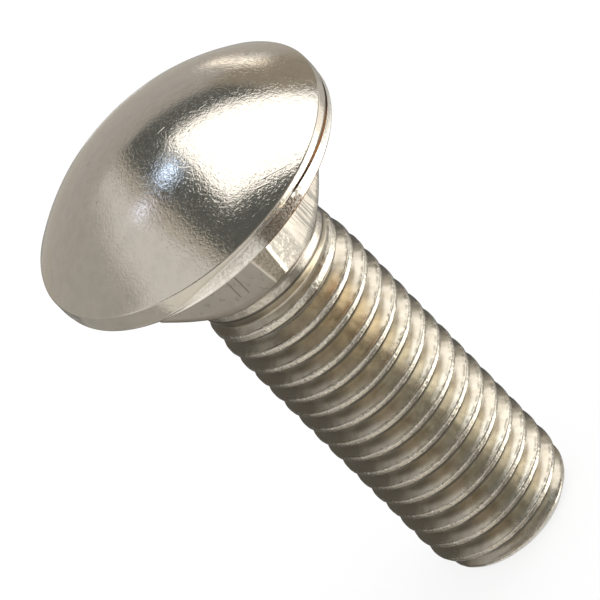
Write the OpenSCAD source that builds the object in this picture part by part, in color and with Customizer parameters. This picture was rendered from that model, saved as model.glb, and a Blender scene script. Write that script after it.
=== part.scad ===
// Carriage bolt: domed head, square neck and a rolled thread that runs the whole way
// from the neck to the point. One cold-formed piece of stainless steel.
// Frame: Z is the bolt's axis and points to the head, and the bearing face under the
// head lies at Z = 0. The point ends at Z = -bolt_l, and the neck's flats face X and Y.

/* [Length] */
// Length from the bearing face under the head to the end of the point
bolt_l = 50.0; // [30:0.5:80]

/* [Head] */
// Widest diameter of the head, at the crease under the dome
head_d = 32.3; // [28:0.1:36]
// Height of the head above its bearing face
head_h = 8.9; // [7:0.1:11]
// Height of the edge band that carries the dome
edge_h = 2.2; // [1.2:0.1:3]
// Draft of the edge band: how much its radius shrinks towards the bearing face
edge_draft = 0.25; // [0.1:0.05:0.6]
// Rounding between the edge band and the bearing face
edge_r = 0.5; // [0.2:0.05:1]

/* [Neck] */
// Width of the square neck across its flats
neck_w = 16.0; // [15.6:0.1:18]
// Depth of the neck's full corners below the bearing face
neck_l = 6.7; // [5:0.1:10]
// Width of the flat that cuts each corner, at the head
corner_head_w = 2.6; // [1:0.1:3]
// Width of the same flat where the corner ends
corner_end_w = 1.3; // [0.6:0.1:3]
// Angle between the bolt's axis and the shoulder cone that takes off the corners
shoulder_a = 55; // [40:1:65]
// Radius of the fillet between the neck and the bearing face
root_fillet = 0.5; // [0.3:0.05:1]

/* [Body] */
// Diameter of the plain body between the neck and the first thread
body_d = 14.85; // [14.2:0.05:15.4]
// Length of the plain body, from the collar to the thread's first groove
body_l = 0.1; // [0:0.1:3]
// How far the collar under the neck's shoulder stands out from the body
collar_step = 0.1; // [0.05:0.01:0.3]
// Length of the collar
collar_l = 1.1; // [0.5:0.1:3]

/* [Thread] */
// Diameter over the crests of the thread
thread_d = 15.8; // [15:0.05:16]
// Advance of the right-hand thread in one turn
pitch = 2.309; // [1.8:0.001:2.6]
// Depth of the thread from crest to root
thread_h = 1.3; // [1:0.01:1.6]
// Width of the flat on the crest
crest_w = 0.5; // [0.2:0.01:0.6]
// Width of the flat at the bottom of the root
root_w = 0.34; // [0.2:0.01:0.5]
// Length over which the thread grows from the plain body to its full depth
runout_l = 4.5; // [1.5:0.1:6]
// Turn of the thread about the axis, which sets where its crests lie
thread_turn = 115; // [0:5:355]

/* [Point] */
// Length of the rounding at the point
point_l = 3.9; // [2:0.1:5]
// Diameter of the flat end of the point
point_d = 12.2; // [11:0.1:14]

/* [Hidden] */
$fn = 96;

// How far a cutting or carrying shape runs past the face it cuts or meets
over = 1;
// Facets round the thread
round_n = 40;
// Steps in the rounding under the edge band
edge_n = 6;
// Steps in the fillet at the neck's root
root_n = 4;

// Radius of the spherical dome from its rise and its foot on the edge band
dome_rise = head_h - edge_h;
dome_r = (pow(head_d / 2, 2) + pow(dome_rise, 2)) / (2 * dome_rise);

// Slope of the edge band and its radius at the top of the rounding
edge_slope = edge_draft / (edge_h - edge_r);
band_foot_r = head_d / 2 - edge_draft;

// Distance from the axis to the corner flats, at the head and where the corner ends
corner_head_x = neck_w / sqrt(2) - corner_head_w / 2;
corner_end_x = neck_w / sqrt(2) - corner_end_w / 2;
corner_tilt = atan((corner_end_x - corner_head_x) / neck_l);

// Radius of the corner's edges where the shoulder cone starts to cut them
corner_r = sqrt(pow(neck_w / 2, 2) + pow(neck_w / 2 - corner_end_w / sqrt(2), 2));

// The shoulder cone runs inwards past the collar, where it ends inside the steel
collar_r = body_d / 2 + collar_step;
collar_z = -neck_l - (corner_r - collar_r) / tan(shoulder_a);
shoulder_end_r = body_d / 2 - over / 4;
shoulder_end_z = -neck_l - (corner_r - shoulder_end_r) / tan(shoulder_a);

// Height at which the thread starts to rise from the plain body
thread_top_z = collar_z - collar_l - body_l;

// One pitch of the thread: where each line of the profile lies and how high it stands
// between root and crest. The fillet lines stand where the flank runs into the root.
fillet_share = 0.16;
flank_w = (pitch - crest_w - root_w) / 2;
fillet_w = flank_w * 0.3;
profile_z = [
    0,
    crest_w,
    crest_w + flank_w - fillet_w,
    crest_w + flank_w,
    pitch - flank_w,
    pitch - flank_w + fillet_w
];
profile_h = [1, 1, fillet_share, 0, 0, fillet_share];
lines = len(profile_z);

// The threaded body starts a turn below the point and ends inside the neck
thread_z0 = -bolt_l - pitch - over;
turns = ceil((collar_z - thread_z0) / pitch) + 1;
rows = turns * lines;

// Radius over the crests: full along the bolt, drawn in at the point and at the neck
function point_share(z) = min(1, max(0, (-bolt_l + point_l - z) / point_l));
function runout_share(z) = min(1, max(0, (z - thread_top_z + runout_l) / runout_l));
function point_drop(z) = (thread_d - point_d) / 2 * (1 - sqrt(1 - pow(point_share(z), 2)));
function crest_r(z) = thread_d / 2 - point_drop(z) - (thread_d - body_d) / 2 * runout_share(z);
function root_r(z) = min(crest_r(z), thread_d / 2 - thread_h
    + (body_d / 2 - thread_d / 2 + thread_h) * runout_share(z));

// A point of the thread's skin, by its column round the bolt and its line along it
function skin_z(i, j) = thread_z0 + profile_z[j % lines] + pitch * (floor(j / lines) + i / round_n);
function skin_r(z, share) = root_r(z) + (crest_r(z) - root_r(z)) * share;
function skin_point(i, j) =
    let (z = skin_z(i, j), r = skin_r(z, profile_h[j % lines]), a = 360 * i / round_n)
    [r * cos(a), r * sin(a), z];

// Number of a point. The column past the last one is the first, a whole turn higher.
function at(i, j) = i < round_n ? i + round_n * j : round_n * (j + lines);

function quad(a, b, c, d) = [[a, c, b], [a, d, c]];

// Solid with the helical skin, closed at both ends by fans to the axis
module threaded_body() {
    low = round_n * (rows + 1);
    high = low + 1;
    last = round_n - 1;
    points = concat(
        [for (j = [0:rows], i = [0:last]) skin_point(i, j)],
        [[0, 0, skin_z(0, 0)], [0, 0, skin_z(last, rows)]]
    );
    skin = [
        for (j = [0:rows - 1], i = [0:last])
        if (i < last || j < rows - lines)
        for (face = quad(at(i, j), at(i + 1, j), at(i + 1, j + 1), at(i, j + 1)))
        face
    ];
    low_fan = [for (i = [0:last]) [low, at(i, 0), at(i + 1, 0)]];
    low_wall = [for (j = [0:lines - 1]) [low, at(0, j + 1), at(0, j)]];
    high_fan = [for (i = [0:last - 1]) [high, at(i + 1, rows), at(i, rows)]];
    high_wall = [for (j = [rows - lines:rows - 1]) [high, at(last, j), at(last, j + 1)]];
    high_seam = [[high, at(0, rows), at(last, rows - lines)]];
    polyhedron(points, concat(skin, low_fan, low_wall, high_fan, high_wall, high_seam));
}

// Threaded body cut square at the end of the point
module shank() {
    intersection() {
        rotate([0, 0, thread_turn]) threaded_body();
        translate([0, 0, -bolt_l]) cylinder(h = bolt_l, r = thread_d);
    }
}

// Outline of the head's edge band. It runs up past the dome, which cuts it off.
module head_outline() {
    foot_r = band_foot_r - edge_r;
    polygon(concat(
        [[0, 0]],
        [for (k = [0:edge_n])
            let (a = 90 * k / edge_n)
            [foot_r + edge_r * sin(a), edge_r * (1 - cos(a))]],
        [[head_d / 2 + edge_slope * (dome_rise + over), head_h + over], [0, head_h + over]]
    ));
}

module head() {
    intersection() {
        rotate_extrude() head_outline();
        translate([0, 0, head_h - dome_r]) sphere(r = dome_r);
    }
}

// Square with cut corners: the neck's section at the head, grown by a margin all round
module neck_section(grow) {
    intersection() {
        square(neck_w + 2 * grow, center = true);
        rotate([0, 0, 45]) square(2 * (corner_head_x + grow), center = true);
    }
}

// Offset and depth of the fillet's arc, step by step from the neck up to the bearing face
function root_out(k) = root_fillet * (1 - cos(90 * k / root_n));
function root_down(k) = root_fillet * (1 - sin(90 * k / root_n));

module neck_root() {
    for (k = [0:root_n - 1])
        translate([0, 0, -root_down(k)])
        linear_extrude(
            height = root_down(k) - root_down(k + 1),
            scale = (neck_w / 2 + root_out(k + 1)) / (neck_w / 2 + root_out(k))
        )
        neck_section(root_out(k));
}

// Square neck that starts inside the head, with its corners cut flat
module square_neck() {
    difference() {
        translate([-neck_w / 2, -neck_w / 2, shoulder_end_z])
            cube([neck_w, neck_w, edge_h - shoulder_end_z]);
        for (side = [0:3])
            rotate([0, 0, 45 + 90 * side])
            translate([corner_head_x, 0, 0])
            rotate([0, -corner_tilt, 0])
            translate([0, -neck_w / 2, shoulder_end_z * 2])
            cube([neck_w, neck_w, edge_h * 2 - shoulder_end_z * 2]);
    }
}

// Round bar with the shoulder cone, which takes the neck's corners off
module shoulder() {
    wide_r = corner_r + over;
    wide_z = -neck_l + over / tan(shoulder_a);
    translate([0, 0, shoulder_end_z])
        cylinder(h = wide_z - shoulder_end_z, r1 = shoulder_end_r, r2 = wide_r);
    translate([0, 0, wide_z])
        cylinder(h = edge_h - wide_z, r = wide_r);
}

// Low collar that the shoulder runs into
module collar() {
    translate([0, 0, collar_z - collar_l])
        cylinder(h = collar_l + over, r = collar_r);
}

module neck() {
    intersection() {
        square_neck();
        shoulder();
    }
    neck_root();
    collar();
}

module carriage_bolt() {
    color("silver") {
        head();
        neck();
        shank();
    }
}

carriage_bolt();
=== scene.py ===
"""Carriage bolt standing on its point: stainless steel, seen from above and to one side."""
from math import acos, atan2, cos, degrees, pi, radians, sin, sqrt, tan

import bpy
from mathutils import Matrix, Vector, noise


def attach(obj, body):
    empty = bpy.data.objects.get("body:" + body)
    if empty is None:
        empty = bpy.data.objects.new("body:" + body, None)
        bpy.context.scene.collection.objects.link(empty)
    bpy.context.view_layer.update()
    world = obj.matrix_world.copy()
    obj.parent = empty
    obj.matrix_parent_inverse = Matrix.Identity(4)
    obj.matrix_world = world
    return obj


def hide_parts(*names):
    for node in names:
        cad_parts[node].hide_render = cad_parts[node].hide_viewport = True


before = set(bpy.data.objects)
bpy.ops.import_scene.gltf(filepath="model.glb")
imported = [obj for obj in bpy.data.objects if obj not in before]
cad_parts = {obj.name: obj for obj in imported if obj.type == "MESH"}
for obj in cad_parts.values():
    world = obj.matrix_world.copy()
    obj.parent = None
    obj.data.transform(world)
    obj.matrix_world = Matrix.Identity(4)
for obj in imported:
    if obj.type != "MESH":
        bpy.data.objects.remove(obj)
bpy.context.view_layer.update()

MM = 0.001
UP = Vector((0, 0, 1))

# Sizes of the bolt in millimetres, as in the part's own source. Only the dome is a little
# lower and the edge under the head a little sharper here, as the photograph's outline is.
HEAD_R = 16.15
HEAD_H = 8.6
EDGE_H = 2.2
EDGE_DRAFT = 0.1
EDGE_ROUND = 0.25
DOME_RISE = HEAD_H - EDGE_H
DOME_R = (HEAD_R ** 2 + DOME_RISE ** 2) / (2 * DOME_RISE)
BOLT_L = 50.0
NECK_W = 16.0
NECK_L = 6.7
CORNER_HEAD_W = 2.6
CORNER_END_W = 1.3
SHOULDER = radians(55)
ROOT_FILLET = 0.5
BODY_R = 7.425
BODY_L = 0.1
COLLAR_R = 7.525
COLLAR_L = 1.1
CORNER_R = sqrt((NECK_W / 2) ** 2 + (NECK_W / 2 - CORNER_END_W / sqrt(2)) ** 2)
COLLAR_Z = -NECK_L - (CORNER_R - COLLAR_R) / tan(SHOULDER)
THREAD_R = 7.9
ROOT_R = 6.6
PITCH = 2.309
CREST_W = 0.5
ROOT_W = 0.34
THREAD_TOP = COLLAR_Z - COLLAR_L - BODY_L
RUNOUT_L = 4.5
POINT_L = 3.9
POINT_R = 6.1

# Camera: where it stands round the bolt and how far it is rolled about its line of sight
CAMERA_TURN = 43.0
CAMERA_RISE = 32.02
CAMERA_ROLL = -44.77
CAMERA_DISTANCE = 708.7 * MM
CAMERA_AIM = Vector((-0.04, 0.043, -16.45)) * MM
NEAREST_SEEN = 10 * MM
LENS = 455.7
SENSOR = 36

# The skin is a grid of columns round the bolt. Column 0 lies on the neck's back corner.
COLUMNS = 192
QUARTER = COLUMNS // 4
BACK = 225.0

# Marks that the skin carries from point to point, for its finish
MARKS = ("dome", "crease", "band", "corner", "lip", "crest")

# Unevenness of the forged faces, in layers: its depth, the size of its lumps and a seed
DOME_LUMPS = ((0.035, 5.0, 3), (0.008, 1.6, 9))
BAND_LUMPS = ((0.06, 2.5, 21),)
NECK_LUMPS = ((0.05, 2.2, 31), (0.03, 0.8, 37))
COLLAR_LUMPS = ((0.05, 1.3, 43),)
THREAD_LUMPS = ((0.03, 3.0, 57),)
CREST_LUMPS = ((0.05, 0.9, 51),)


def mix(a, b, share):
    return a + (b - a) * share


def clamp(value):
    return min(1.0, max(0.0, value))


def ease(value):
    """Share that leaves 0 and reaches 1 smoothly."""
    value = clamp(value)
    return value * value * (3 - 2 * value)


def steps(count):
    """Shares from just above 0 up to 1, in equal steps."""
    return [k / count for k in range(1, count + 1)]


def azimuth(i):
    return radians(BACK + 360 * i / COLUMNS)


def at(radius, angle, z):
    return Vector((radius * cos(angle), radius * sin(angle), z))


def wobble(p, size, seed):
    """Smooth noise between 0 and 1 at a point, with lumps of about the given size."""
    return clamp(0.5 + 0.5 * noise.noise(p / size + Vector((seed, 0, 0))))


def lumps(p, layers):
    return sum(depth * wobble(p, size, seed) for depth, size, seed in layers)


class Skin:
    """Closed mesh made row by row, from the top of the dome down to the point."""

    def __init__(self):
        self.points = []
        self.marks = {name: [] for name in MARKS}
        self.faces = []
        self.last = None

    def point(self, p, marks=None):
        self.points.append(p)
        for name, values in self.marks.items():
            values.append((marks or {}).get(name, 0.0))
        return len(self.points) - 1

    def join(self, row):
        """Join a row of COLUMNS + 1 numbers to the row above it."""
        for i in range(COLUMNS if self.last else 0):
            corners = []
            for corner in (row[i], row[i + 1], self.last[i + 1], self.last[i]):
                if corner not in corners:
                    corners.append(corner)
            if len(corners) > 2:
                self.faces.append(corners)
        self.last = row

    def ring(self, place, marks=None):
        row = [self.point(place(i), marks(i) if marks else None) for i in range(COLUMNS)]
        self.join(row + row[:1])

    def pole(self, p, marks=None):
        self.join([self.point(p, marks)] * (COLUMNS + 1))


# Head

# Height of the seam between dome and edge band, by the turn from the camera, in degrees
SEAM = (
    (-180, 1.8), (-115, 1.8), (-90, 1.3), (-70, 0.7), (-38, 0.6), (-30, 0.8), (-25, 1.15), (-20, 1.5),
    (-10, 1.82), (0, 1.94), (10, 1.9), (20, 1.7), (30, 1.55), (50, 1.25), (65, 1.15), (80, 1.25), (90, 1.6),
    (100, 1.8), (180, 1.8)
)
# The side of the head on which the seam gapes, and how far it gapes there and elsewhere
OPEN_FACE = radians(CAMERA_TURN + 50)
OPEN_WIDTH = radians(27)
OPEN_EASE = 6
OPEN_GAP = 0.14
CLOSED_GAP = 0.01
# The dome's edge is rounded into a short wall that ends at the seam
DOME_Z = HEAD_H - DOME_R
LIP_ROUND = 0.35
LIP_R = HEAD_R - LIP_ROUND
LIP_Z = DOME_Z + sqrt((DOME_R - LIP_ROUND) ** 2 - LIP_R ** 2)
# The dome's even rings end at this lean, and the lumps start past the small one at its top
DOME_LEAN = 43
TOP_LEAN = radians(4)
DOME_RINGS = 46
LIP_RINGS = 8
WALL_RINGS = (0.3, 0.6, 0.9)
# Depths below the seam: the rings of the groove, its lower edge and the top of the edge band
GROOVE_DROPS = (0.03, 0.17)
GROOVE_EDGE = 0.21
# Share of the seam's painted shade that reaches the groove's lower edge
GROOVE_EDGE_SHADE = 0.6
BAND_DROP = 0.24
BAND_RINGS = (0.1, 0.4, 0.7, 0.9)
EDGE_RINGS = 8
SEAT_RINGS = 8


def seam_z(angle):
    turn = (degrees(angle) - CAMERA_TURN + 180) % 360 - 180
    for (start, low), (end, high) in zip(SEAM, SEAM[1:]):
        if turn <= end:
            return mix(low, high, (turn - start) / (end - start))
    return SEAM[-1][1]


def openness(i):
    """How far the seam gapes: open on one side of the head and closed on the rest."""
    return ease(0.5 + OPEN_EASE * (cos(azimuth(i) - OPEN_FACE) - cos(OPEN_WIDTH)))


def groove(i, inset, drop):
    return at(HEAD_R - inset, azimuth(i), seam_z(azimuth(i)) - drop)


def dome_point(lean, i):
    """Point of the dome where its skin leans by an angle, with the rounding at its edge."""
    normal = at(sin(lean), azimuth(i), cos(lean))
    if lean < atan2(LIP_R, LIP_Z - DOME_Z):
        p = Vector((0, 0, DOME_Z)) + normal * DOME_R
    else:
        p = at(LIP_R, azimuth(i), LIP_Z) + normal * LIP_ROUND
    return p - normal * lumps(p, DOME_LUMPS) * ease(lean / TOP_LEAN)


def wall_point(share, i):
    """Point of the wall between the dome's rounded edge and the seam."""
    angle = azimuth(i)
    p = at(HEAD_R, angle, mix(LIP_Z, seam_z(angle), share))
    return p - at(1, angle, 0) * lumps(p, DOME_LUMPS) * (1 - share)


def band_point(share, i):
    top = seam_z(azimuth(i)) - BAND_DROP
    p = at(HEAD_R - EDGE_DRAFT * share, azimuth(i), mix(top, EDGE_ROUND, share))
    return p - at(lumps(p, BAND_LUMPS), azimuth(i), 0)


def make_dome(skin):
    marks = {"dome": 1.0}
    skin.pole(Vector((0, 0, HEAD_H)), marks)
    leans = [radians(DOME_LEAN) * share for share in steps(DOME_RINGS)]
    leans += [radians(mix(DOME_LEAN, 90, share)) for share in steps(LIP_RINGS)]
    for lean in leans:
        skin.ring(lambda i: dome_point(lean, i), lambda i: marks)
    for share in WALL_RINGS:
        skin.ring(lambda i: wall_point(share, i), lambda i: marks)


def make_seam(skin):
    for drop in GROOVE_DROPS:
        place = lambda i: groove(i, mix(CLOSED_GAP, OPEN_GAP, openness(i)), drop)
        skin.ring(place, lambda i: {"crease": openness(i)})
    marks = lambda i: {"crease": GROOVE_EDGE_SHADE * openness(i), "band": 1.0}
    skin.ring(lambda i: groove(i, 0.0, GROOVE_EDGE), marks)


def make_edge_band(skin):
    marks = lambda i: {"band": 1.0}
    foot_r = HEAD_R - EDGE_DRAFT - EDGE_ROUND
    for share in BAND_RINGS:
        skin.ring(lambda i: band_point(share, i), marks)
    for k in range(EDGE_RINGS + 1):
        lean = pi / 2 * k / EDGE_RINGS
        place = lambda i: at(foot_r + EDGE_ROUND * cos(lean), azimuth(i), EDGE_ROUND * (1 - sin(lean)))
        skin.ring(place, marks)
    for share in steps(SEAT_RINGS):
        skin.ring(lambda i: at(foot_r, azimuth(i), 0).lerp(neck_point(i, 0, ROOT_FILLET), share))


# Neck

# Columns on each side of a corner's middle that lie on its flat
CORNER_COLUMNS = 3
# The neck's edges are softened by this length, with one point between, a little inside the edge
EDGE_SOFT = 0.2
EDGE_IN = 0.022
EDGE_ALONG = 0.009
# How much higher the shoulder lies to the camera's right, and lower to its left
NECK_WEAR = 0.18
FILLET_RINGS = 5
NECK_RINGS = 13
# Shares of the way down the shoulder cone, whose upper edge is rolled over
SHOULDER_RINGS = (0.0, 0.06, 0.25, 0.5, 0.75, 0.93, 0.985)
SHOULDER_LIP = 0.1
SHOULDER_INSET = 0.03
COLLAR_DROPS = (0.05, 0.2, 0.45, 0.7, 0.9, 1.0)
# Depth and radius of the rings that lead from the collar to the body
COLLAR_FOOT = ((1.06, COLLAR_R - 0.02), (COLLAR_L, BODY_R + 0.03), (1.16, BODY_R))


def neck_column(i):
    """Steps from a column to the nearest corner's middle, and that corner's turn."""
    spot = (i + QUARTER // 2) % QUARTER - QUARTER // 2
    return spot, radians(BACK + 90 * ((i + QUARTER // 2) // QUARTER))


def neck_point(i, z, grow=0.0):
    """Point of the square neck's section, by its column, at a height."""
    spot, corner = neck_column(i)
    half = mix(CORNER_HEAD_W, CORNER_END_W, clamp(-z / NECK_L)) / 2
    reach = NECK_W / sqrt(2) - half
    past_edge = abs(spot) - CORNER_COLUMNS - 1
    if past_edge < 0:
        x, y = reach, (half - EDGE_SOFT) * abs(spot) / CORNER_COLUMNS
    elif past_edge == 0:
        x, y = reach - EDGE_IN, half - EDGE_ALONG
    else:
        share = (past_edge - 1) / (QUARTER / 2 - CORNER_COLUMNS - 2)
        way = mix(EDGE_SOFT, NECK_W / 2 - half * sqrt(2), share)
        x, y = reach - way / sqrt(2), half + way / sqrt(2)
    size = 1 + grow / (NECK_W / 2)
    p = Vector((x * size, y * size * (1 if spot >= 0 else -1), z))
    return Matrix.Rotation(corner, 3, "Z") @ p


def corner_mark(i):
    """1 on the flats that cut the neck's corners."""
    return {"corner": 1.0 if abs(neck_column(i)[0]) <= CORNER_COLUMNS else 0.0}


def neck_end(i):
    """Height at which the shoulder cuts a column of the neck."""
    z = -NECK_L
    for _ in range(3):
        p = neck_point(i, z)
        z = -NECK_L - max(0, CORNER_R - Vector((p.x, p.y)).length) / tan(SHOULDER)
    return z + NECK_WEAR * sin(atan2(p.y, p.x) - radians(CAMERA_TURN))


def neck_skin(i, z):
    p = neck_point(i, z)
    return p - Vector((p.x, p.y, 0)).normalized() * lumps(p, NECK_LUMPS)


def shoulder_point(i, share):
    p = neck_skin(i, neck_end(i))
    p -= Vector((p.x, p.y, 0)).normalized() * SHOULDER_INSET * (1 - share)
    return p.lerp(at(COLLAR_R, azimuth(i), COLLAR_Z), share)


def collar_point(i, drop):
    p = at(COLLAR_R, azimuth(i), COLLAR_Z - drop)
    return at(COLLAR_R - lumps(p, COLLAR_LUMPS), azimuth(i), COLLAR_Z - drop)


def make_neck(skin):
    for share in steps(FILLET_RINGS):
        lean = pi / 2 * share
        place = lambda i: neck_point(i, -ROOT_FILLET * (1 - cos(lean)), ROOT_FILLET * (1 - sin(lean)))
        skin.ring(place)
    for share in steps(NECK_RINGS):
        place = lambda i: neck_skin(i, mix(-ROOT_FILLET, neck_end(i) + EDGE_SOFT / 2, share))
        skin.ring(place, corner_mark)
    for share in SHOULDER_RINGS:
        lip = 1.0 if share < SHOULDER_LIP else 0.0
        skin.ring(lambda i: shoulder_point(i, share), lambda i: {"lip": lip})
    for drop in COLLAR_DROPS:
        skin.ring(lambda i: collar_point(i, drop))
    for drop, radius in COLLAR_FOOT:
        skin.ring(lambda i: at(radius, azimuth(i), COLLAR_Z - drop))


# Thread

# Height at which a crest crosses column 0, and the lines of one pitch, measured down from it
CREST_Z = -13.14
LINES = (0.0, 0.17, 0.25, 0.31, 0.45, 0.72, 0.9, 1.03)
PITCH_LINES = LINES + (PITCH / 2,) + tuple(PITCH - d for d in LINES[:0:-1])
LINE_COUNT = len(PITCH_LINES)
TURNS = 15
LAST_LINE = LINE_COUNT * TURNS + 12
# Shares of the crest's half width above and below its line: rolling left it fuller below
CREST_ABOVE = 0.5
CREST_BELOW = 1.5
# Its edges are ragged: the least and the greatest share of its width, in lumps of a size
RAGGED = (0.76, 1.24)
RAGGED_SIZE = 0.5
RAGGED_SEED = 61
# Half width of the crest where it runs out
RUNOUT_CREST = 0.4
# Rounding of the root and of the crest, as shares of the flank. The crest's grows down the bolt.
ROOT_SOFT = 0.16
CREST_SOFT = (0.06, 0.2)
CREST_SOFT_Z = (-15, -45)
POINT_RINGS = 8
END_RADII = (5.9, 5.0, 3.5, 1.8)


def line_drop(j):
    return PITCH * (j // LINE_COUNT) + PITCH_LINES[j % LINE_COUNT]


def soft_step(share, low, high):
    """Share held between 0 and 1, with both corners rounded."""
    if share < low:
        return 0.0 if share < -low else (share + low) ** 2 / (4 * low)
    if share > 1 - high:
        return 1.0 if share > 1 + high else 1 - (1 - share + high) ** 2 / (4 * high)
    return share


def thread_point(i, z):
    """Point of the threaded body, with the mark of how near it is to the crest."""
    angle = azimuth(i)
    turns = (z - CREST_Z) / PITCH - i / COLUMNS
    above = (turns - round(turns)) * PITCH
    lean = CREST_ABOVE if above > 0 else CREST_BELOW
    root_at = (PITCH - ROOT_W) / 2
    start, end = CREST_SOFT_Z
    crest_soft = mix(*CREST_SOFT, clamp((start - z) / (start - end)))
    runout = clamp((z - THREAD_TOP + RUNOUT_L) / RUNOUT_L)
    ragged = mix(*RAGGED, wobble(at(THREAD_R, angle, z), RAGGED_SIZE, RAGGED_SEED))
    half = mix(CREST_W / 2 * lean, RUNOUT_CREST, runout) * ragged
    share = soft_step((root_at - abs(above)) / (root_at - half), ROOT_SOFT, crest_soft)
    point = clamp((-BOLT_L + POINT_L - z) / POINT_L)
    top = THREAD_R - (THREAD_R - POINT_R) * (1 - sqrt(1 - point ** 2)) - (THREAD_R - BODY_R) * runout
    low = min(top, mix(ROOT_R, BODY_R, runout ** 3))
    p = at(1, angle, 0) * (low + (top - low) * share)
    p.z = z
    p -= at(lumps(p, CREST_LUMPS) * share + lumps(p, THREAD_LUMPS), angle, 0)
    return p, {"crest": mix(share, 1.0, runout ** 3)}


def make_thread(skin):
    """Rows of the thread, level at both ends and along the helix between. Returns its end's height."""
    top = CREST_Z + PITCH
    starts = []

    def row(z_of, first, last):
        numbers = [first] if first is not None else []
        numbers += [skin.point(*thread_point(i, z_of(i))) for i in range(len(numbers), COLUMNS)]
        starts.append(numbers[0])
        skin.join(numbers + [numbers[0] if last is None else last])

    row(lambda i: top, None, None)
    pivot = starts[0]
    for j in range(1, LINE_COUNT):
        row(lambda i: top - PITCH_LINES[j] * (1 - i / COLUMNS), None, pivot)
    for j in range(LAST_LINE + 1):
        row(lambda i: CREST_Z + PITCH * i / COLUMNS - line_drop(j), None, starts[j])
    end = CREST_Z - line_drop(LAST_LINE)
    pivot = starts[-1]
    for j in range(LAST_LINE + 1, LAST_LINE + LINE_COUNT):
        fall = line_drop(j) - line_drop(LAST_LINE)
        row(lambda i: end + (PITCH - fall) * i / COLUMNS, pivot, starts[j])
    row(lambda i: end, pivot, pivot)
    return end


def make_point(skin, end):
    start = acos(clamp((end + BOLT_L) / POINT_L))
    for share in steps(POINT_RINGS):
        lean = mix(start, pi / 2, share)
        radius = POINT_R + (THREAD_R - POINT_R) * cos(lean)
        skin.ring(lambda i: at(radius, azimuth(i), -BOLT_L + POINT_L * (1 - sin(lean))))
    for radius in END_RADII:
        skin.ring(lambda i: at(radius, azimuth(i), -BOLT_L))
    skin.pole(Vector((0, 0, -BOLT_L)))


def make_bolt():
    skin = Skin()
    make_dome(skin)
    make_seam(skin)
    make_edge_band(skin)
    make_neck(skin)
    make_point(skin, make_thread(skin))
    mesh = bpy.data.meshes.new("bolt_skin")
    mesh.from_pydata([p * MM for p in skin.points], [], skin.faces)
    for name, values in skin.marks.items():
        mesh.attributes.new(name, "FLOAT", "POINT").data.foreach_set("value", values)
    for face in mesh.polygons:
        face.use_smooth = True
    mesh.update()
    bolt = bpy.data.objects.new("bolt_skin", mesh)
    bpy.context.collection.objects.link(bolt)
    return bolt


# Shader maths


class Value:
    """A shader socket that takes part in Python sums."""

    def __init__(self, nodes, socket):
        self.nodes = nodes
        self.socket = socket

    def __add__(self, other):
        return self.nodes.maths("ADD", self, other)

    def __radd__(self, other):
        return self.nodes.maths("ADD", other, self)

    def __sub__(self, other):
        return self.nodes.maths("SUBTRACT", self, other)

    def __rsub__(self, other):
        return self.nodes.maths("SUBTRACT", other, self)

    def __mul__(self, other):
        return self.nodes.maths("MULTIPLY", self, other)

    def __rmul__(self, other):
        return self.nodes.maths("MULTIPLY", other, self)

    def step(self, low, high, least=0.0, most=1.0):
        """The least below low and the most above high, with a smooth way between."""
        inputs = {"Value": self, "From Min": low, "From Max": high, "To Min": least, "To Max": most}
        return self.nodes.add("ShaderNodeMapRange", {"interpolation_type": "SMOOTHSTEP"}, inputs)

    def within(self, low, high, soft):
        """1 between two values and 0 outside them, with soft ends."""
        return self.step(low - soft, low + soft) * (1 - self.step(high - soft, high + soft))


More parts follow.
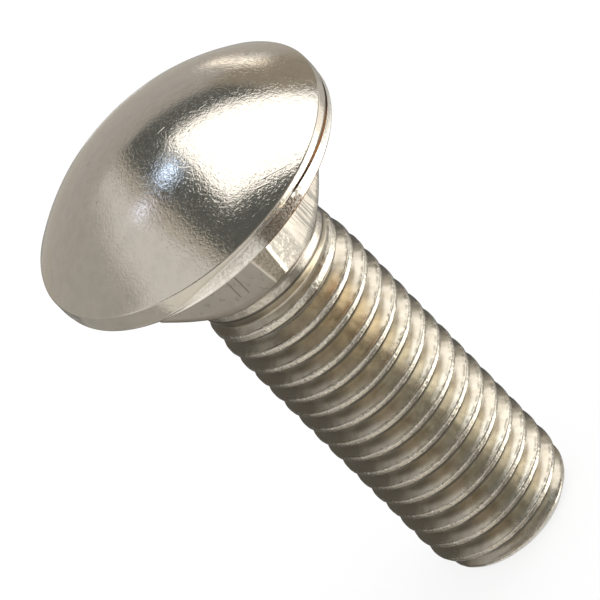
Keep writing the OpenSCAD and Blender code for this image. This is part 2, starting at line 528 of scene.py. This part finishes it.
class Nodes:
    """The node tree of one material."""

    def __init__(self, name):
        self.material = bpy.data.materials.new(name)
        self.material.use_nodes = True
        self.tree = self.material.node_tree
        self.tree.nodes.clear()

    def add(self, kind, settings=None, inputs=None, output=0):
        node = self.tree.nodes.new(kind)
        for name, value in (settings or {}).items():
            setattr(node, name, value)
        for name, value in (inputs or {}).items():
            if isinstance(value, Value):
                self.tree.links.new(value.socket, node.inputs[name])
            else:
                node.inputs[name].default_value = value
        return Value(self, node.outputs[output]) if node.outputs else node

    def finish(self, surface):
        self.add("ShaderNodeOutputMaterial", None, {"Surface": surface})
        return self.material

    def maths(self, operation, *terms):
        return self.add("ShaderNodeMath", {"operation": operation}, dict(enumerate(terms)))

    def vector(self, operation, first, second, output=0):
        inputs = {0: first, "Scale" if operation == "SCALE" else 1: second}
        return self.add("ShaderNodeVectorMath", {"operation": operation}, inputs, output)

    def blend(self, share, first, second):
        """Colour between two others."""
        return self.add("ShaderNodeMix", {"data_type": "RGBA"}, {0: share, 6: first, 7: second}, 2)

    def mark(self, name):
        """Share that the skin's points carry under a name."""
        return self.add("ShaderNodeAttribute", {"attribute_name": name}, None, "Fac")

    def place(self, stretch=(1, 1, 1)):
        """Object coordinates in millimetres, stretched."""
        spot = self.add("ShaderNodeTexCoord", output="Object")
        return self.vector("MULTIPLY", spot, [s / MM for s in stretch])

    def speckle(self, scale, detail=2.0, rough=0.5, stretch=(1, 1, 1), twist=0.0):
        """Noise with this many lumps to the millimetre."""
        return self.add("ShaderNodeTexNoise", None, {
            "Vector": self.place(stretch), "Scale": scale, "Detail": detail, "Roughness": rough,
            "Distortion": twist
        }, "Fac")

    def flecks(self, scale, detail, low, high, most, stretch=(1, 1, 1)):
        """Spots of their own noise, which begin at a low value of it and show up to a share."""
        return self.speckle(scale, detail, stretch=stretch).step(low, high, 0.0, most)

    def spot(self, place, centre, radius):
        """1 at a point, falling to 0 at a radius."""
        return 1 - self.vector("DISTANCE", place, centre, "Value").step(0.0, radius)

    def line(self, place, start, end, width):
        """1 on a straight line between two points, falling to 0 at a distance."""
        along = Vector(end) - Vector(start)
        offset = self.vector("SUBTRACT", place, start)
        share = self.vector("DOT_PRODUCT", offset, tuple(along / along.length_squared), "Value")
        share = self.maths("MAXIMUM", self.maths("MINIMUM", share, 1.0), 0.0)
        nearest = self.vector("SCALE", tuple(along), share)
        return 1 - self.vector("DISTANCE", offset, nearest, "Value").step(0.0, width)


# Steel

STEEL = (0.53, 0.487, 0.425, 1)
WORN_STEEL = (0.36, 0.335, 0.3, 1)
STREAK_STEEL = (0.3, 0.25, 0.175, 1)
THREAD_STEEL = (0.53, 0.49, 0.42, 1)
# Painted shade for the crests on the shaded side of the bolt
PAINTED_SHADE_CROWN = (0.36, 0.33, 0.285, 1)
FLANK_STEEL = (0.47, 0.425, 0.35, 1)
# Painted shade for the flanks on the shaded side of the bolt
PAINTED_SHADE_FLANK = (0.31, 0.285, 0.24, 1)
# Painted highlight for the flanks on the lit side, and a golden painted reflection for it higher up
HIGHLIGHT_FLANK = (0.6, 0.565, 0.48, 1)
GOLDEN_REFLECTION_FLANK = (0.63, 0.555, 0.43, 1)
# Painted shade for the thread's roots and the crests' edges; also the dark colour of the shoulder's lip
ROOT_SHADE_AND_LIP_STEEL = (0.13, 0.12, 0.1, 1)
CORNER_STEEL = (0.3, 0.255, 0.195, 1)
# Colour of the painted highlights on the edge band, and of bright specks on the crests
HIGHLIGHT_AND_BRIGHT_STEEL = (0.86, 0.83, 0.78, 1)
DULL_STEEL = (0.25, 0.235, 0.215, 1)
# The stain, painted darker as shade where the bright sheet lights the band
STAIN_WITH_PAINTED_SHADE = (0.075, 0.055, 0.038, 1)
LIGHT_STAIN = (0.22, 0.175, 0.13, 1)
# Painted golden highlight
GOLDEN_HIGHLIGHT = (0.95, 0.74, 0.5, 1)
# Painted shade in a rust-brown tint, at the seat and in the seam
RUSTY_SHADE = (0.16, 0.075, 0.03, 1)
# Painted shade in the open seam; also dirt specks on the neck's corner flats
CREASE_SHADE_AND_DIRT = (0.045, 0.028, 0.018, 1)

# Where the parts of the bolt lie, by height, and how softly they end
NECK_Z = (-8.9, -0.2, 0.1)
COLLAR_Z_RANGE = (-11.6, -6.9, 0.2)
SEAT_Z = (-0.12, 0.22, 0.05)
THREAD_START = (-9.9, -9.7)
# Distances across at which the skin reaches a near flat, and at which the shoulder cone ends
ON_FLAT = (7.8, 7.9)
PAST_CONE = (7.85, 7.9)
# Marks of the skin at which the thread's root ends, the crown begins and other parts are full
ROOT_END = (0.0, 0.16)
FLANK_END = (0.9, 1.0)
CROWN_START = (0.85, 0.95)
CROWN_EDGE = (0.76, 0.9, 0.05)
LIP_START = (0.4, 0.9)
CREASE_START = (0.3, 0.7)

# Where each finish, painted highlight and painted shade begins and ends round the bolt, in degrees,
# and how softly it ends where it comes third. The camera stands at 43.
LIT_BAND_TURNS = (4, 20)
BEAD_HIGHLIGHT_TURNS = (9, 25, 5)
STAINED = (48, 69, 2.5)
STAIN_SHADE_TURNS = (57, 63)
SEAT_SHADE_TURNS = (50, 96, 4)
RUST_TINT_SEAM_TURNS = (78, 104, 5)
LIT_CROWN = (-22, 4)
LIT_FLANK = (6, 26)
HIGHLIGHT_FLANK_TURNS = (42, 82, 7)
SHADED_EDGE_TURNS = (60, 118, 8)
RAGGEDNESS = 6
# Heights between which the painted highlight on the flanks turns into a golden painted reflection higher up
GOLDEN_REFLECTION_Z = (-27, -17)

# Grain of the finish: lumps to the millimetre, and for the dents their detail and roughness
FINE = 2.6
GRIT = 5.5
BLOTCH = 1.5
CLOUD = 0.35
CRUMBS = (2.8, 3.0)
DENTS = (3.2, 2.5, 0.6)
DENT_EDGE = (0.47, 0.7)

# Flecks with their own noise: lumps to the millimetre, detail, the values of the noise at which
# they begin and are full, and how strongly they show
WEAR = (0.9, 4.0, 0.35, 0.7, 0.2)
STREAKS = (1.2, 2.0, 0.4, 0.65, 0.3)
STREAK_STRETCH = (1, 1, 0.5)
EDGE_SHADE_FLECKS = (1.3, 3.0, 0.42, 0.6, 0.6)
DULL_CROWN = (3.4, 2.0, 0.56, 0.66, 0.6)
BRIGHT_CROWN = (3.8, 2.0, 0.6, 0.7, 0.6)
CORNER_DIRT = (4.0, 1.0, 0.6, 0.66, 1.0)
CORNER_DIRT_Z = (-3.4, -1.6)
NECK_SPECKS = (1.7, 2.0, 0.62, 0.72, 0.35)
NECK_PATCH = (3.2, 3.0, 0.36, 0.52, 0.8)
STRIPE_GAPS = (0.9, 1.0, 0.6, 0.7, 1.0)

# Flecks of the fine noise or the grit: the values of it at which they begin and are full, and
# how strongly they show there
BAND_HIGHLIGHT_FLECKS = (0.4, 0.6, 0.55, 0.8)
DULL_BAND_FLECKS = (0.5, 0.7, 0.0, 0.35)
COLLAR_FLECKS = (0.45, 0.6, 0.0, 0.4)
CORNER_FLECKS = (0.38, 0.56, 0.35, 1.0)
LIP_FLECKS = (0.4, 0.6, 0.35, 0.85)
STAIN_FLECKS = (0.4, 0.6, 0.7, 1.0)
GOLDEN_HIGHLIGHT_FLECKS = (0.42, 0.55)
GLINT_FLECKS = (0.35, 0.5)
BEAD_HIGHLIGHT_SHARE = 0.5
SEAT_SHADE_SHARE = 0.9

# Painted highlights on the stained side of the edge band: a golden line and its width, a white spot and its
# radius, and how each fades out
GOLDEN_HIGHLIGHT_LINE = ((9.4, 13.0, 1.95), (7.6, 14.15, 1.64), 0.34)
GOLDEN_HIGHLIGHT_FADE = (0.2, 0.6)
WHITE_GLINT = ((6.5, 14.67, 1.35), 0.5)
GLINT_FADE = (0.2, 0.7)

# Scratches on the dome, each from one end to the other, and pits with their radius
SCRATCHES = (((6.1, 12.8), (4.4, 14.6)), ((7.1, 12.3), (6.3, 13.4)), ((-0.1, 3.1), (0.5, 2.6)))
SCRATCH_W = 0.09
PITS = (
    ((1.9, 4.5), 0.16), ((0.9, 5.9), 0.13), ((0.5, -6.5), 0.22), ((0.4, -6.4), 0.2), ((7.3, -4.5), 0.16),
    ((5.9, -3.9), 0.17), ((6.2, -6.2), 0.15)
)
PIT_FADE = (0.2, 0.9, 0.0, 0.7)

# Lines that the forming die left on the near flat of the neck: how far across, and their two ends
DIE_LINES = ((2.5, -7.0, -4.5), (3.65, -6.8, -4.2))
DIE_LINE_W = 0.14
DIE_LINE_SOFT = 0.04
DIE_END_SOFT = 0.1
# Stripes on the other flat, along the bolt, and the dull patch beside them with a leaning side
STRIPE_GRAIN = (1.0, 1.5)
STRIPE_STRETCH = (4.4, 1.0, 0.2)
STRIPE_TWIST = 0.6
STRIPES = (0.49, 0.55, 0.0, 0.95)
STRIPES_END = (1.0, 3.0)
PATCH_START = (2.8, 3.4)
PATCH_END = (5.65, 5.85)
PATCH_LEAN = 0.137
PATCH_TOP = (-4.2, -3.0)

# Roughness of the plain steel, and what clouds and the parts of the bolt add to it
PLAIN_ROUGH = 0.11
CLOUD_ROUGH = 0.05
BAND_ROUGH = 0.14
NECK_ROUGH = 0.08
CORNER_ROUGH = 0.15
MARK_ROUGH = 0.1
COLLAR_ROUGH = 0.06
THREAD_ROUGH = 0.1
FLANK_ROUGH = 0.04

# Heights of the fine relief, in millimetres
DOME_BLOTCH = 0.006
DOME_FINE = 0.006
DOME_GRIT = 0.008
DENT_DEPTH = 0.006
PIT_DEPTH = 0.03
SCRATCH_HEIGHT = 0.012
BAND_FINE = 0.03
CORNER_FINE = 0.05
NECK_GRIT = 0.003
COLLAR_FINE = 0.012
COLLAR_GRIT = 0.006
CROWN_CRUMBS = 0.055
THREAD_GRIT = 0.004


def on_dome(x, y):
    return (x, y, DOME_Z + sqrt(DOME_R ** 2 - x ** 2 - y ** 2))


class Steel(Nodes):
    """The bolt's steel, with shares for the parts of the bolt and the grain of its finish."""

    def __init__(self):
        super().__init__("stainless_steel_satin")
        self.where = self.place()
        x, y, z = (self.add("ShaderNodeSeparateXYZ", None, {0: self.where}, axis) for axis in range(3))
        self.x, self.y, self.z = x, y, z
        self.turn = self.maths("ARCTAN2", y, x) * (180 / pi)
        self.dome, self.crease, self.band, self.corner, self.lip, self.crest = map(self.mark, MARKS)
        self.near_flat = x.step(*ON_FLAT)
        self.far_flat = y.step(*ON_FLAT)
        self.neck = z.within(*NECK_Z)
        round_skin = (1 - x.step(*PAST_CONE)) * (1 - y.step(*PAST_CONE)) * (1 - self.corner)
        self.collar = z.within(*COLLAR_Z_RANGE) * round_skin
        self.thread = 1 - z.step(*THREAD_START)
        self.crown = self.crest.step(*CROWN_START)
        self.fine = self.speckle(FINE)
        self.grit = self.speckle(GRIT)
        # The turn with a ragged edge, for the stain and for the painted highlights and shade on the edge band
        # and the flanks
        self.ragged = self.turn + (self.fine - 0.5) * RAGGEDNESS


def dome_flaws(n):
    """Pits and scratches of the dome."""
    pits = sum(n.spot(n.where, on_dome(*centre), radius) for centre, radius in PITS)
    scratches = sum(n.line(n.where, on_dome(*start), on_dome(*end), SCRATCH_W) for start, end in SCRATCHES)
    return pits, scratches


def neck_marks(n):
    """Dullness of the neck's two near flats."""
    marks = n.flecks(*NECK_SPECKS)
    for across, low, high in DIE_LINES:
        beside = n.y.within(across - DIE_LINE_W / 2, across + DIE_LINE_W / 2, DIE_LINE_SOFT)
        marks = beside * n.z.within(low, high, DIE_END_SOFT) + marks
    stripes = n.speckle(*STRIPE_GRAIN, stretch=STRIPE_STRETCH, twist=STRIPE_TWIST).step(*STRIPES)
    stripes = stripes * (1 - n.x.step(*STRIPES_END)) * (1 - n.flecks(*STRIPE_GAPS))
    patch = n.flecks(*NECK_PATCH) * n.x.step(*PATCH_START) * (1 - n.z.step(*PATCH_TOP))
    patch = patch * (1 - (n.x + n.z * PATCH_LEAN).step(*PATCH_END))
    return (n.near_flat * marks + n.far_flat * (stripes + patch)) * n.neck


def plain_colour(n):
    """Steel with worn clouds, with a painted highlight on the lit side of the edge band, and speckled on the
    edge band and the collar.
    """
    colour = n.blend(n.flecks(*WEAR), STEEL, WORN_STEEL)
    # Painted highlight on the edge band's lit side, mottled.
    band_highlight = n.band * n.ragged.step(*LIT_BAND_TURNS) * n.fine.step(*BAND_HIGHLIGHT_FLECKS)
    colour = n.blend(band_highlight, colour, HIGHLIGHT_AND_BRIGHT_STEEL)
    colour = n.blend(n.band * n.grit.step(*DULL_BAND_FLECKS), colour, DULL_STEEL)
    return n.blend(n.collar * n.fine.step(*COLLAR_FLECKS), colour, DULL_STEEL)


def thread_colour(n, colour):
    """Painted shade in the roots, streaked flanks and rolled crests. Flanks and crests are painted darker on
    the shaded side; the flanks get a painted highlight on the lit side that turns into a golden painted
    reflection higher up, and painted shade flecks the crests' edges there.
    """
    # Painted shade: the flanks are darker on the shaded side of the bolt.
    flank = n.blend(n.turn.step(*LIT_FLANK), PAINTED_SHADE_FLANK, FLANK_STEEL)
    # Painted highlight on the flanks of the lit side, turning into a golden painted reflection higher up,
    # near the head.
    flank_highlight = n.blend(n.z.step(*GOLDEN_REFLECTION_Z), HIGHLIGHT_FLANK, GOLDEN_REFLECTION_FLANK)
    flank = n.blend(n.ragged.within(*HIGHLIGHT_FLANK_TURNS), flank, flank_highlight)
    flank = n.blend(n.flecks(*STREAKS, STREAK_STRETCH), flank, STREAK_STEEL)
    # Painted shade: the crests are darker on the shaded side of the bolt.
    crown = n.blend(n.turn.step(*LIT_CROWN), PAINTED_SHADE_CROWN, THREAD_STEEL)
    skin = n.blend(n.crest.step(*FLANK_END), flank, crown)
    # Painted shade in the thread's roots.
    skin = n.blend(n.crest.step(*ROOT_END), ROOT_SHADE_AND_LIP_STEEL, skin)
    # Painted shade: dark flecks along the crests' edges on the lit side.
    dirt_and_shade = n.crest.within(*CROWN_EDGE) * n.turn.within(*SHADED_EDGE_TURNS) * n.flecks(*EDGE_SHADE_FLECKS)
    colour = n.blend(n.thread, colour, n.blend(dirt_and_shade, skin, ROOT_SHADE_AND_LIP_STEEL))
    colour = n.blend(n.thread * n.crown * n.flecks(*DULL_CROWN), colour, DULL_STEEL)
    return n.blend(n.thread * n.crown * n.flecks(*BRIGHT_CROWN), colour, HIGHLIGHT_AND_BRIGHT_STEEL)


def neck_colour(n, colour, dull):
    """Brown corner flats with dirt, the dark lip of the shoulder and the marks on the flats."""
    colour = n.blend(n.corner * n.grit.step(*CORNER_FLECKS), colour, CORNER_STEEL)
    dirt_and_shade = n.flecks(*CORNER_DIRT) * n.z.step(*CORNER_DIRT_Z)
    colour = n.blend(n.corner * dirt_and_shade, colour, CREASE_SHADE_AND_DIRT)
    colour = n.blend(n.lip.step(*LIP_START) * n.fine.step(*LIP_FLECKS), colour, ROOT_SHADE_AND_LIP_STEEL)
    return n.blend(dull, colour, DULL_STEEL)


def stain_colour(n, colour):
    """A painted highlight for the bead, the brown stain on the edge band, painted darker as shade past turn
    60, golden and white painted highlights, and painted shade in a rust tint at the seat.
    """
    # Painted highlight: a bright bead along the edge band.
    colour = n.blend(n.band * n.ragged.within(*BEAD_HIGHLIGHT_TURNS) * BEAD_HIGHLIGHT_SHARE, colour, HIGHLIGHT_AND_BRIGHT_STEEL)
    stained = n.band * n.ragged.within(*STAINED) * n.grit.step(*STAIN_FLECKS)
    # The stain is painted darker past turn 60, as shade where the bright sheet lights the band.
    stain_and_shade = n.blend(n.ragged.step(*STAIN_SHADE_TURNS), LIGHT_STAIN, STAIN_WITH_PAINTED_SHADE)
    colour = n.blend(stained, colour, stain_and_shade)
    # Painted golden highlight along the seam's edge.
    golden_highlight = n.line(n.where, *GOLDEN_HIGHLIGHT_LINE).step(*GOLDEN_HIGHLIGHT_FADE) * n.fine.step(*GOLDEN_HIGHLIGHT_FLECKS)
    colour = n.blend(golden_highlight, colour, GOLDEN_HIGHLIGHT)
    # Painted white highlight: a glint on the edge band.
    glint = n.spot(n.where, *WHITE_GLINT).step(*GLINT_FADE) * n.grit.step(*GLINT_FLECKS)
    colour = n.blend(glint, colour, HIGHLIGHT_AND_BRIGHT_STEEL)
    # Painted shade, rust-tinted, along the seat under the head.
    seat_shade = n.z.within(*SEAT_Z) * n.turn.within(*SEAT_SHADE_TURNS)
    return n.blend(seat_shade * SEAT_SHADE_SHARE, colour, RUSTY_SHADE)


def crease_colour(n, colour):
    """Painted shade in the open seam under the dome: dark brown, and rust-brown over one stretch."""
    # Painted shade in the seam, dark brown, rust-brown over one stretch.
    dirt_and_shade = n.blend(n.turn.within(*RUST_TINT_SEAM_TURNS), CREASE_SHADE_AND_DIRT, RUSTY_SHADE)
    return n.blend(n.crease.step(*CREASE_START), colour, dirt_and_shade)


def roughness(n, dull):
    head = PLAIN_ROUGH + n.speckle(CLOUD) * CLOUD_ROUGH + n.band * BAND_ROUGH
    neck = n.neck * NECK_ROUGH + n.corner * CORNER_ROUGH + dull * MARK_ROUGH + n.collar * COLLAR_ROUGH
    return head + neck + n.thread * (THREAD_ROUGH + (1 - n.crown) * FLANK_ROUGH)


def relief(n, pits, scratches):
    """Height of the fine grain, in millimetres."""
    dome = n.speckle(BLOTCH) * DOME_BLOTCH + n.fine * DOME_FINE + n.grit * DOME_GRIT
    dome = (dome - n.speckle(*DENTS).step(*DENT_EDGE) * DENT_DEPTH) * n.dome
    flaws = scratches * SCRATCH_HEIGHT - pits * PIT_DEPTH
    neck = n.corner * n.fine * CORNER_FINE + n.neck * n.grit * NECK_GRIT
    collar = n.collar * (n.fine * COLLAR_FINE + n.grit * COLLAR_GRIT)
    thread = n.thread * (n.crown * n.speckle(*CRUMBS) * CROWN_CRUMBS + n.grit * THREAD_GRIT)
    return dome + flaws + n.band * n.fine * BAND_FINE + neck + collar + thread


def steel_finish():
    n = Steel()
    dull = neck_marks(n)
    pits, scratches = dome_flaws(n)
    colour = thread_colour(n, plain_colour(n))
    colour = stain_colour(n, neck_colour(n, colour, dull))
    colour = n.blend(pits.step(*PIT_FADE), colour, DULL_STEEL)
    bump = {"Height": relief(n, pits, scratches), "Distance": MM, "Strength": 1.0}
    return n.finish(n.add("ShaderNodeBsdfPrincipled", None, {
        "Base Color": crease_colour(n, colour), "Metallic": 1.0, "Roughness": roughness(n, dull),
        "Normal": n.add("ShaderNodeBump", None, bump)
    }))


# Finishes of the studio

FLOOR_PAPER = (0.8, 0.8, 0.8, 1)
FLOOR_WHITE = 0.85
SEEING_RAYS = ("Is Camera Ray", "Is Glossy Ray", "Is Transmission Ray")


def glow(name, colour, strength):
    n = Nodes(name)
    return n.finish(n.add("ShaderNodeEmission", None, {"Color": (*colour, 1), "Strength": strength}))


def seen(n):
    """1 for rays that look at the floor or see it in metal, 0 for the light that it passes on."""
    rays = (n.add("ShaderNodeLightPath", output=name) for name in SEEING_RAYS)
    return n.maths("MINIMUM", sum(rays), 1.0)


def floor_finish():
    n = Nodes("white_floor")
    paper = n.add("ShaderNodeBsdfDiffuse", None, {"Color": FLOOR_PAPER})
    white = n.add("ShaderNodeEmission", None, {"Color": (1, 1, 1, 1), "Strength": 1.0})
    return n.finish(n.add("ShaderNodeMixShader", None, {0: seen(n) * FLOOR_WHITE, 1: paper, 2: white}))


# Studio


def heading(turn, rise):
    """Unit vector at a turn from the X axis and a rise, in degrees."""
    level = Matrix.Rotation(radians(turn), 3, "Z") @ Vector((1, 0, 0))
    return level * cos(radians(rise)) + UP * sin(radians(rise))


# Directions in the studio: towards the camera, to the camera's right, and towards the cards on
# the left, a little behind the bolt
NEAR = heading(CAMERA_TURN, 0)
SIDE = UP.cross(NEAR)
STUDIO = Matrix((NEAR, SIDE, UP)).transposed().to_4x4()
LEFT = heading(CAMERA_TURN - 122, 20)


def studio(near, side, up):
    return NEAR * near + SIDE * side + UP * up


WARM = (1.0, 0.94, 0.84)
WHITE = (1.0, 1.0, 0.98)
CREAM = (1.0, 0.96, 0.88)
PALE = (1.0, 0.98, 0.92)
IVORY = (1.0, 0.98, 0.93)
LINEN = (1.0, 0.965, 0.92)
BROWN = (1.0, 0.9, 0.74)
COOL = (0.86, 0.92, 1.0)
SEA = (0.92, 1.0, 0.98)
HAZE = (0.95, 1.0, 0.98)

# Sheets on the floor round the foot: the turns of the crest in which each begins and ends,
# how bright it is near the foot and farther out, and its tint near the foot
SHEETS = (
    (-90, -78, 0.17, 0.42, WARM), (-78, -62, 0.17, 0.48, WARM), (-62, -47, 0.28, 0.53, WARM),
    (-47, -33, 0.46, 0.58, WARM), (-33, -12, 0.85, 1.1, WARM), (-12, 4, 0.48, 1.05, WARM),
    (4, 15, 0.28, 0.36, WARM), (15, 18, 0.5, 0.6, WARM), (18, 23, 1.0, 2.4, CREAM), (23, 29, 1.3, 3.4, CREAM),
    (29, 45, 3.9, 3.4, CREAM), (45, 57, 0.6, 1.7, WHITE), (57, 70, 0.55, 0.7, WARM), (70, 90, 0.2, 0.5, WARM)
)
SHEET_STEP = 64 * MM
SHEET_REACH = 520 * MM
SHEET_LIFT = 0.05
SHEET_PARTS = 4

# Curved screens round the bolt: their turns from the camera in degrees, their distance, their
# lower edge and both ends of their upper edge in millimetres, their tint and their brightness
SCREENS = (
    ("back_screen", (-138, -222), 160, -49.9, (8, 8), WARM, 0.58),
    ("left_low_screen", (-95, -178), 18.5, -49.9, (-3, -3), WARM, 0.2),
    ("left_high_screen", (-106, -178), 24, -7, (0.1, -4), WARM, 0.2),
    ("right_low_screen", (118, 178), 18.5, -49.9, (-3, -3), COOL, 0.13),
    ("right_high_screen", (118, 178), 24, -7, (-1.5, -4), COOL, 0.13)
)
SCREEN_PARTS = 12

# Cards overhead: where their corners stand against the bolt at a height of one, towards the
# camera and to its right, then their height in metres, their tint and their brightness
OVERHEADS = (
    ("dark_frame", ((-1.82, -0.21), (-1.95, 3.2), (0.8, 3.2), (0.8, -0.2)), 0.62, SEA, 0.165),
    ("soft_frame", ((-1.72, -0.31), (-1.72, -0.19), (0.8, -0.18), (0.8, -0.33)), 0.6, WARM, 0.7),
    ("haze_frame", ((-1.95, 1.5), (-1.95, 3.3), (-0.7, 3.3), (-0.7, 1.5)), 0.61, HAZE, 0.42),
    ("front_card", ((0.78, -3.0), (0.78, 3.2), (4.0, 3.2), (4.0, -3.0)), 0.6, WARM, 0.35)
)

# Flat cards that face the bolt: their place, the way of their width, their width and length in
# metres, their tint and their brightness
CARDS = (
    ("back_card", studio(-0.882, -0.09, 0.18), SIDE, 1.0, 0.62, LINEN, 0.6),
    ("left_card", LEFT * 0.98, NEAR, 0.92, 0.88, IVORY, 0.6),
    ("left_rim_card", LEFT, NEAR, 1.2, 1.14, IVORY, 0.8),
    ("side_card", studio(-0.684, 0.594, 0.18), NEAR, 0.5, 0.62, BROWN, 0.45)
)

# Lamps overhead: their place, their width and length in metres, their radiance and their tint
LAMPS = (
    ("blue_lamp", studio(-0.225, -0.015, 0.5), 0.066, 0.066, 4.6, (0.54, 0.7, 1.0)),
    ("upper_lamp", studio(-0.31, 0.02, 0.5), 0.05, 0.04, 1.1, (0.85, 0.93, 1.0)),
    ("second_lamp", studio(-0.21, -0.1625, 0.5), 0.055, 0.055, 1.9, (0.62, 0.7, 1.0))
)

# The lamp behind the bolt that gives the streak at the top of the dome
STREAK_PLACE = heading(CAMERA_TURN + 157.5, 7) * 0.7
STREAK_ROLL = radians(55)
STREAK_SIZE = (0.045, 0.22)
STREAK_RADIANCE = 1.7
STREAK_TINT = (1.0, 0.92, 0.8)

# The large softbox, as it would be at a height of one: the middle of its inner edge, the way it
# leads off to the side and down, its width and its length
SOFTBOX_HEIGHT = 0.55
SOFTBOX_EDGE = studio(-0.322, 0.125, 1.0)
SOFTBOX_WAY = studio(0, 0.978, -0.208)
SOFTBOX_WIDTH = 1.03
SOFTBOX_LENGTH = 1.5
SOFTBOX_RADIANCE = 2.4

FLOOR_SIZE = 6


def make_camera():
    data = bpy.data.cameras.new("camera")
    data.lens = LENS
    data.sensor_width = SENSOR
    data.clip_start = NEAREST_SEEN
    camera = bpy.data.objects.new("camera", data)
    bpy.context.collection.objects.link(camera)
    towards = heading(CAMERA_TURN, CAMERA_RISE)
    turn = (-towards).to_track_quat("-Z", "Y").to_matrix()
    turn = turn @ Matrix.Rotation(radians(CAMERA_ROLL), 3, "Z")
    camera.matrix_world = Matrix.Translation(CAMERA_AIM + towards * CAMERA_DISTANCE) @ turn.to_4x4()
    bpy.context.scene.camera = camera


def facing(centre, width_way):
    """Matrix of a flat thing at a place, facing the bolt, with its width along a direction."""
    back = centre.normalized()
    across = (width_way - back * width_way.dot(back)).normalized()
    turn = Matrix((across, back.cross(across), back)).transposed()
    return Matrix.Translation(centre) @ turn.to_4x4()


def stand(name, matrix, points, faces, finish, camera=False):
    """Put up a card that metal reflects. Only the floor shows to the camera and takes shadows."""
    mesh = bpy.data.meshes.new(name)
    mesh.from_pydata(points, [], faces)
    mesh.materials.append(finish)
    thing = bpy.data.objects.new(name, mesh)
    bpy.context.collection.objects.link(thing)
    thing.matrix_world = matrix
    thing.visible_camera = camera
    if not camera:
        thing.visible_diffuse = False
        thing.visible_shadow = False


def panel(name, matrix, outline, finish, camera=False):
    stand(name, matrix, outline, [list(range(len(outline)))], finish, camera)


def plane(name, matrix, width, length, finish, camera=False):
    w, h = width / 2, length / 2
    panel(name, matrix, [(-w, -h, 0), (w, -h, 0), (w, h, 0), (-w, h, 0)], finish, camera)


def lamp(name, matrix, width, length, radiance, colour=(1, 1, 1)):
    data = bpy.data.lights.new(name, "AREA")
    data.shape = "RECTANGLE"
    data.size = width
    data.size_y = length
    data.color = colour
    data.energy = radiance * pi * width * length
    thing = bpy.data.objects.new(name, data)
    bpy.context.collection.objects.link(thing)
    thing.matrix_world = matrix


def round_foot(turn, reach):
    """Place on the floor that a crest at a turn reflects to the camera, at a distance."""
    a = radians(turn)
    r = THREAD_R * MM
    return (r * cos(a) + reach * cos(2 * a), r * sin(a) + reach * sin(2 * a), 0)


def make_sheets():
    base = Matrix.Translation(UP * (SHEET_LIFT - BOLT_L) * MM) @ STUDIO
    for start, end, near, far, tint in SHEETS:
        turns = [mix(start, end, k / SHEET_PARTS) for k in range(SHEET_PARTS + 1)]
        step = [round_foot(turn, SHEET_STEP) for turn in turns]
        foot = [round_foot(turn, 0) for turn in turns[:0:-1]]
        edge = [round_foot(turn, SHEET_REACH) for turn in reversed(turns)]
        panel("near_sheet", base, step + foot, glow("near_glow", tint, near))
        panel("far_sheet", base, step + edge, glow("far_glow", PALE, far))


def make_screen(name, turns, reach, low, highs, finish):
    """Curved card round the bolt between two turns. Its upper edge may slope."""
    points = []
    for k in range(SCREEN_PARTS + 1):
        a = radians(mix(*turns, k / SCREEN_PARTS))
        for z in (low, mix(*highs, k / SCREEN_PARTS)):
            points.append((reach * MM * cos(a), reach * MM * sin(a), z * MM))
    faces = [(2 * k, 2 * k + 1, 2 * k + 3, 2 * k + 2) for k in range(SCREEN_PARTS)]
    stand(name, STUDIO, points, faces, finish)


def make_softbox():
    middle = (SOFTBOX_EDGE + SOFTBOX_WAY * SOFTBOX_LENGTH / 2) * SOFTBOX_HEIGHT
    turn = Matrix((NEAR, SOFTBOX_WAY.normalized(), NEAR.cross(SOFTBOX_WAY).normalized())).transposed()
    place = Matrix.Translation(middle) @ turn.to_4x4()
    size = (SOFTBOX_WIDTH * SOFTBOX_HEIGHT, SOFTBOX_LENGTH * SOFTBOX_HEIGHT)
    lamp("softbox", place, *size, SOFTBOX_RADIANCE)


def make_studio():
    world = bpy.data.worlds.new("studio")
    world.use_nodes = True
    background = world.node_tree.nodes["Background"]
    background.inputs["Color"].default_value = (1, 1, 1, 1)
    background.inputs["Strength"].default_value = 1.0
    bpy.context.scene.world = world
    bpy.context.scene.view_settings.view_transform = "Standard"
    ground = Matrix.Translation((0, 0, -BOLT_L * MM))
    plane("floor", ground, FLOOR_SIZE, FLOOR_SIZE, floor_finish(), True)
    make_sheets()
    for name, *shape, tint, strength in SCREENS:
        make_screen(name, *shape, glow(name + "_glow", tint, strength))
    make_softbox()
    for name, corners, height, tint, strength in OVERHEADS:
        outline = [(x * height, y * height, height) for x, y in corners]
        panel(name, STUDIO, outline, glow(name + "_glow", tint, strength))
    for name, place, way, width, length, tint, strength in CARDS:
        plane(name, facing(place, way), width, length, glow(name + "_glow", tint, strength))
    for name, place, width, length, radiance, tint in LAMPS:
        lamp(name, facing(place, SIDE), width, length, radiance, tint)
    streak = facing(STREAK_PLACE, SIDE) @ Matrix.Rotation(STREAK_ROLL, 4, "Z")
    lamp("streak_lamp", streak, *STREAK_SIZE, STREAK_RADIANCE, STREAK_TINT)


make_camera()
make_studio()
bolt = make_bolt()
bolt.data.materials.append(steel_finish())
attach(bolt, "root")
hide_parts("carriage_bolt")
